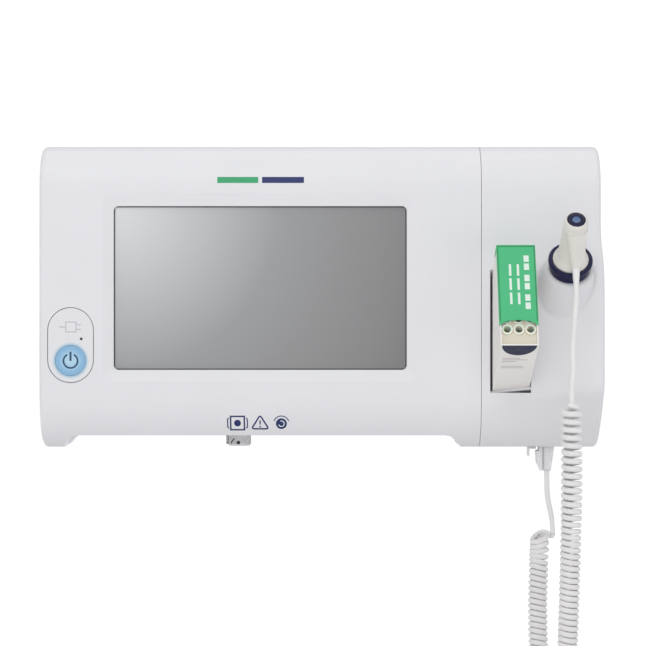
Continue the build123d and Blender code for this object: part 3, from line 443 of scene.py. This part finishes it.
def coiled(axis, first, pitch_at, radius_at, tilt_at, turn_points=24):
    """Points of a helix wound round an axis line; pitch, radius and tilt depend on the distance along it."""
    frames, run = carried(axis, first), lengths(axis)
    points, places, far, angle, index = [], [], 0.0, 0.0, 0
    while far < run[-1]:
        while run[index + 1] < far:
            index += 1
        share = (far - run[index]) / (run[index + 1] - run[index])
        centre = axis[index].lerp(axis[index + 1], share)
        along = frames[index][0].lerp(frames[index + 1][0], share).normalized()
        side = frames[index][1].lerp(frames[index + 1][1], share).normalized()
        out = (side * cos(angle) + along.cross(side) * sin(angle)) * radius_at(far)
        lean = -out.dot(side) * tilt_at(far)
        points.append(centre + out + along * lean)
        places.append(far)
        far += pitch_at(far) / turn_points
        angle -= 2 * pi / turn_points
    return points, places


def tube(name, line, radius, material, sides=10):
    """Round closed tube along a line."""
    frames, verts, faces = carried(line, (1, 0.1, 0.2)), [], []
    for point, (along, side) in zip(line, frames):
        other = along.cross(side)
        for k in range(sides):
            turn = 2 * pi * k / sides
            verts.append(point + (side * cos(turn) + other * sin(turn)) * radius)
    for ring in range(len(line) - 1):
        for k in range(sides):
            a, b = ring * sides + k, ring * sides + (k + 1) % sides
            faces.append((a, b, b + sides, a + sides))
    last = (len(line) - 1) * sides
    faces.append(tuple(range(sides))[::-1])
    faces.append(tuple(last + k for k in range(sides)))
    return solid(name, verts, faces, material, smooth=True)


def solid(name, verts, faces, material, smooth=False):
    """Mesh object from vertices and faces."""
    mesh = bpy.data.meshes.new(name)
    mesh.from_pydata([tuple(v) for v in verts], [], faces)
    mesh.polygons.foreach_set("use_smooth", [smooth and len(f) == 4 for f in faces])
    mesh.materials.append(material)
    mesh.update()
    made = bpy.data.objects.new(name, mesh)
    scene.collection.objects.link(made)
    return made


def smooth_step(value, low, high):
    """0 below low, 1 above high, and a smooth rise between."""
    share = min(1.0, max(0.0, (value - low) / (high - low)))
    return share * share * (3 - 2 * share)


front_axis = nurbs_line(FRONT_COIL)
rear_axis = nurbs_line(REAR_COIL)
whole_axis = front_axis + rear_axis[1:]
front_long, whole_long = lengths(front_axis)[-1], lengths(whole_axis)[-1]


def coil_radius(far):
    """The coil's middle radius: it opens from the lead at the probe's end, and is slightly smaller behind."""
    return (0.00410 - 0.00015 * smooth_step(far, 0.05, front_long)) * smooth_step(far, -0.0012, 0.0042)


def coil_pitch(far):
    """Distance from turn to turn: stretched near the top, closer below."""
    return 0.0041 - 0.0010 * smooth_step(far, 0.0, 0.09)


def coil_tilt(far):
    """How far each turn leans: a little in front, and a lot where the rear coil reaches the plug's lead."""
    front_lean = -0.10 * (1 - smooth_step(far, 0.03, 0.09)) - 0.10 * smooth_step(far, 0.13, 0.2)
    return front_lean + 0.75 * smooth_step(far, whole_long - 0.020, whole_long - 0.004)


wound, wound_at = coiled(whole_axis, (-1, 0, 0), coil_pitch, coil_radius, coil_tilt)
last_turn = range(len(wound) - 26, len(wound) - 1)
# The last turn is left where it runs towards the plug's lead.
leave = max(last_turn, key=lambda i: wound[i + 1].x - wound[i].x)
heading = (wound[leave + 1] - wound[leave]).normalized()
lead_end = Vector(PLUG_LEAD[-1])
hook = [wound[leave], wound[leave] + heading * 0.004, lead_end + Vector((0, 0, -0.002)), lead_end]
wound, wound_at = wound[:leave], wound_at[:leave]
join = next(i for i, far in enumerate(wound_at) if far >= front_long)
front_line = nurbs_line(LEAD)[:-1] + wound[:join + 1]
rear_line = wound[join:] + nurbs_line(hook)
plug_line = nurbs_line(PLUG_LEAD)
cord_front = tube("cord_front", front_line, CORD_D / 2, cord_white)
cord_rear = tube("cord_rear", rear_line, CORD_D / 2, cord_white)
cord_plug_lead = tube("cord_plug_lead", plug_line, CORD_D / 2, cord_white)
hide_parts("cord_lead_probe", "cord_coil_front")
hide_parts("cord_coil_rear")
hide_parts("cord_lead_plug")
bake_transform(cord_front)
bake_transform(cord_rear)
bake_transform(cord_plug_lead)

# ---------------------------------------------------------------- ejector's return spring
WELL_MOUTH = Vector((160.4, -88.0, 19.0)) * MM      # centre of the collar's face
WELL_TILT, CARTON_TILT = radians(38), radians(25)    # how far each leans up from level
WELL_OUT = Vector((0, -cos(WELL_TILT), sin(WELL_TILT)))
SPRING_LOW, SPRING_HIGH = (WELL_MOUTH + WELL_OUT * far * MM for far in (5.3, 11.6))
SPRING_R, SPRING_PITCH, SPRING_WIRE_R = 0.0028, 0.0015, 0.00025
spring_line, _ = coiled(
    [SPRING_LOW, SPRING_HIGH], (1, 0, 0), lambda far: SPRING_PITCH, lambda far: SPRING_R, lambda far: 0.0
)
return_spring = tube("return_spring", spring_line, SPRING_WIRE_R, steel)
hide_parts("ejector_spring")
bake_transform(return_spring)

# ---------------------------------------------------------------- printed marks
print_navy = plastic("print_navy", rgb(20, 38, 100), 0.4, 0.0004, 0.000004, vary=0.05, soften=0.0)
print_green = plastic("print_green", rgb(52, 166, 110), 0.4, 0.0004, 0.000004, vary=0.05, soften=0.0)
print_grey = plastic("print_grey", rgb(196, 196, 200), 0.45, 0.0004, 0.000004, vary=0.03, soften=0.0)
print_white = plastic("print_white", rgb(226, 240, 230), 0.4, 0.0004, 0.000004, vary=0.03, soften=0.0)
print_dark_green = plastic("print_dark_green", rgb(34, 138, 84), 0.4, 0.0004, 0.000004, vary=0.05, soften=0.0)
print_power = plastic("print_power", rgb(34, 74, 108), 0.4, 0.0004, 0.000004, vary=0.05, soften=0.0)
print_blue = plastic("print_blue", rgb(84, 110, 156), 0.3, 0.0004, 0.000004, vary=0.05, soften=0.0)
print_shadow = plastic("print_shadow", rgb(168, 160, 158), 0.5, 0.0004, 0.000004, vary=0.05, soften=0.0)


def band(points, width, closed=False, step=0.8):
    """Flat quads of an even width along a line of (x, y) points in millimetres."""
    line = [Vector(p) for p in points]
    if closed:
        line.append(line[0])
    fine = [line[0]]
    for a, b in zip(line, line[1:]):
        count = max(1, int((b - a).length / step))
        fine += [a.lerp(b, (k + 1) / count) for k in range(count)]
    count = len(fine) - 1 if closed else len(fine)
    pairs = []
    for i in range(count):
        before = fine[(i - 1) % count] if closed else fine[max(i - 1, 0)]
        after = fine[(i + 1) % count] if closed else fine[min(i + 1, count - 1)]
        behind, ahead = fine[i] - before, after - fine[i]
        first = (behind if behind.length else ahead).normalized()
        second = ahead.normalized() if ahead.length else first
        mitre = Vector((-(first.y + second.y), first.x + second.x)).normalized()
        reach = width / 2 / max(0.5, mitre.dot(Vector((-second.y, second.x))))
        pairs.append((fine[i] + mitre * reach, fine[i] - mitre * reach))
    return pairs, closed


def arc(centre, radius, start, end, steps=24, squeeze=1.0):
    """Points of a circular or squeezed arc, angles in degrees."""
    return [
        (centre[0] + radius * cos(radians(start + (end - start) * k / steps)),
         centre[1] + radius * squeeze * sin(radians(start + (end - start) * k / steps)))
        for k in range(steps + 1)
    ]


INK_SUNK = 0.03                        # millimetres that the ink reaches under the surface
INK_STEP = 0.5                         # millimetres between points across a band
RAY_LIFT, RAY_REACH = 6 * MM, 30 * MM  # where the ray to the surface starts, and how far it looks


def printed(name, node, body, place, bands, material, proud=0.04):
    """Ink laid on a CAD node's surface: bands drawn in the plane of place and dropped along its normal."""
    source = nodes[node].data
    tree = BVHTree.FromPolygons([v.co for v in source.vertices], [tuple(p.vertices) for p in source.polygons])
    normal = place.to_3x3() @ Vector((0, 0, 1))
    verts, faces = [], []
    for pairs, closed in bands:
        base, count = len(verts), len(pairs)
        columns = max(1, int(max((b - a).length for a, b in pairs) / INK_STEP)) + 1
        for depth in (proud, -INK_SUNK):
            for a, b in pairs:
                for column in range(columns):
                    x, y = a.lerp(b, column / (columns - 1))
                    point = place @ (Vector((x, y, 0)) * MM)
                    hit = tree.ray_cast(point + normal * RAY_LIFT, -normal, RAY_REACH)[0] or point
                    verts.append(hit + normal * depth * MM)
        under = count * columns
        for i in range(count if closed else count - 1):
            row, after = base + columns * i, base + columns * ((i + 1) % count)
            for k in range(columns - 1):
                top = (row + k, row + k + 1, after + k + 1, after + k)
                faces += [top, tuple(v + under for v in reversed(top))]
            for a, b in ((row, after), (after + columns - 1, row + columns - 1)):
                faces.append((b, b + under, a + under, a))
        if not closed:
            for row, step in ((base, 1), (base + columns * (count - 1), -1)):
                for k in range(columns - 1):
                    a, b = (row + k, row + k + 1)[::step]
                    faces.append((a, a + under, b + under, b))
    made = solid(name, verts, faces, material)
    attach(made, body)
    return made


def rows(outline, centre):
    """Filled shape: rings from an outline in to its centre, as one closed band."""
    pairs = [(Vector(p), Vector(centre).lerp(Vector(p), 0.02)) for p in outline]
    return pairs, True


def facing(origin, right, up):
    """Placement whose x and y lie along right and up; its normal stands off the surface."""
    right, up = Vector(right).normalized(), Vector(up).normalized()
    out = right.cross(up)
    turn = Matrix((right, up, out)).transposed().to_4x4()
    return Matrix.Translation(Vector(origin) * MM) @ turn


front = facing((0, -66, 0), (1, 0, 0), (0, 0, 1))
printed("mark_green", "front_housing", "root", front, [band([(-22.5, 61.2), (-1.0, 61.2)], 3.2)], print_green)
printed("mark_navy", "front_housing", "root", front, [band([(1.0, 61.2), (23.0, 61.2)], 3.2)], print_navy)
printed("symbol_square", "front_housing", "root", front,
        [band([(-15.6, -70.2), (-8.4, -70.2), (-8.4, -63.0), (-15.6, -63.0)], 0.8, True),
         rows(arc((-12, -66.6), 1.8, 0, 345, 23), (-12, -66.6)),
         band([(-16.6, -69.4), (-17.2, -68.6), (-17.2, -64.6), (-16.6, -63.8)], 0.6),
         band([(-7.4, -69.4), (-6.8, -68.6), (-6.8, -64.6), (-7.4, -63.8)], 0.6)], print_navy)
printed("symbol_triangle", "front_housing", "root", front,
        [band(arc((3.2, -69.0), 0.7, -90, 30, 5) + arc((-0.1, -63.7), 0.7, 30, 150, 5)
              + arc((-3.4, -69.0), 0.7, 150, 270, 5), 0.8, True, 0.4),
         band([(-0.1, -65.2), (-0.1, -67.4)], 0.7),
         rows(arc((-0.1, -68.5), 0.45, 0, 345, 23), (-0.1, -68.5))], print_navy)
DISC_AT = (11.1, -66.9)
printed("symbol_disc", "front_housing", "root", front,
        [rows(arc(DISC_AT, 2.9, 0, 345, 23), DISC_AT), band(arc(DISC_AT, 4.1, 20, 160), 0.5)], print_navy)
printed("symbol_disc_ring", "front_housing", "root", front,
        [band(arc(DISC_AT, 1.5, 200, 470), 0.5, step=0.3)], print_white, 0.06)
port_front = facing((0, -44, 0), (1, 0, 0), (0, 0, 1))
# painted shade: a dark disc for the shade inside the port's hole, and a dark curved band for the shade in the
# gap beside the clip
printed("port_painted_shade", "air_port", "root", port_front,
        [rows(arc((-12.3, -77.9), 1.0, 0, 345, 23), (-12.3, -77.9)),
         band(arc((-12.0, -79.6), 4.4, 122, 165), 0.6, step=0.3)], port_black)
printed("power_symbol", "power_button", "power_button", front,
        [band(arc((-99.5, -33.8), 3.7, 118, 422, 40), 0.9, step=0.3),
         band([(-99.5, -29.0), (-99.5, -33.8)], 1.1)], print_power)
printed("plug_icon", "power_pad", "root", front,
        [band([(-102.0, -18.6), (-96.6, -18.6), (-96.6, -13.4), (-102.0, -13.4)], 0.5, True),
         band([(-96.3, -14.8), (-94.0, -14.8)], 0.5), band([(-96.3, -17.2), (-94.0, -17.2)], 0.5),
         band([(-105.4, -16.0), (-102.3, -16.0)], 0.6)], print_grey)

carton_right = Vector((1, 0, 0))
carton_out = Vector((0, -cos(CARTON_TILT), sin(CARTON_TILT)))
carton_up = carton_out.cross(carton_right)
CARTON_EDGE = (131.5, -117.7, -25.0)     # middle of the carton's front lower edge
lid_face = facing(CARTON_EDGE, carton_right, carton_up)
carton_under = facing(CARTON_EDGE, carton_right, carton_out)
printed("carton_border", "carton_lid", "carton", lid_face,
        [band([(-9.3, 13.0), (-9.3, 55.2), (9.3, 55.2), (9.3, 13.0)], 0.6)], print_dark_green)
dashes = [band([(5.0, high), (5.0, high - 3.6)], 2.6) for high in (50, 45.4, 39, 34.4, 28, 23.4)]
dashes += [band([(x, high), (x, high - 6.5)], 1.2) for x in (0.6, -3.4) for high in (45, 37, 29)]
printed("carton_lines", "carton_lid", "carton", lid_face, dashes, print_white)
printed("carton_patch", "cover_carton", "carton", carton_under,
        [rows([(8.8, -0.4), *arc((0, -0.4), 8.8, 0, -180, 24, 1.35), (-8.8, -0.4)], (0, -5))], navy_plastic)
printed("carton_patch_rim", "cover_carton", "carton", carton_under,
        [band(arc((0, -0.4), 9.15, -2, -178, 30, 1.36), 0.35)], print_white, 0.05)
printed("carton_notes", "cover_carton", "carton", carton_under,
        [band([(-7.5, far), (-7.5 + long, far)], 0.5)
         for far, long in ((-16, 9), (-18, 13), (-20, 7), (-26, 11), (-28, 12))], print_shadow)
printed("eject_mark", "eject_button", "eject_button",
        facing((WELL_MOUTH + WELL_OUT * 31 * MM) / MM, (1, 0, 0), WELL_OUT.cross(Vector((1, 0, 0)))),
        [rows(arc((0, 0), 2.1, 0, 345, 23), (0, 0))], print_blue)

# ---------------------------------------------------------------- floor
FLOOR_Z, FLOOR_R, FLOOR_SIDES = -0.45, 3.5, 96
floor_mesh = bpy.data.meshes.new("floor")
rim_turns = [2 * pi * k / FLOOR_SIDES for k in range(FLOOR_SIDES)]
rim = [(FLOOR_R * cos(turn), FLOOR_R * sin(turn), FLOOR_Z) for turn in rim_turns]
floor_mesh.from_pydata(rim, [], [tuple(range(FLOOR_SIDES))])
# The floor is painted lighter and made to glow further from its middle, so that it fades into the white
# background.
floor_paint, floor_tree, floor_shader, floor_where = shader("floor_paint", Roughness=0.9)
far = distance_from(floor_tree, floor_where, (0, 0, 0), (1, 1, 0))
floor_tone = noise(floor_tree, floor_where, 0.2, 3)
near_paint = blended(floor_tree, floor_tone, rgb(232, 232, 233), rgb(237, 237, 238))
floor_tree.links.new(
    blended(floor_tree, span(floor_tree, far, 0, 1, 0.4, 1.4), near_paint, rgb(250, 250, 250)),
    floor_shader.inputs["Base Color"],
)
floor_shader.inputs["Emission Color"].default_value = (1, 1, 1, 1)
floor_tree.links.new(span(floor_tree, far, 0.0, 0.9, 0.9, 1.6), floor_shader.inputs["Emission Strength"])
floor_mesh.materials.append(floor_paint)
floor = bpy.data.objects.new("floor", floor_mesh)
scene.collection.objects.link(floor)
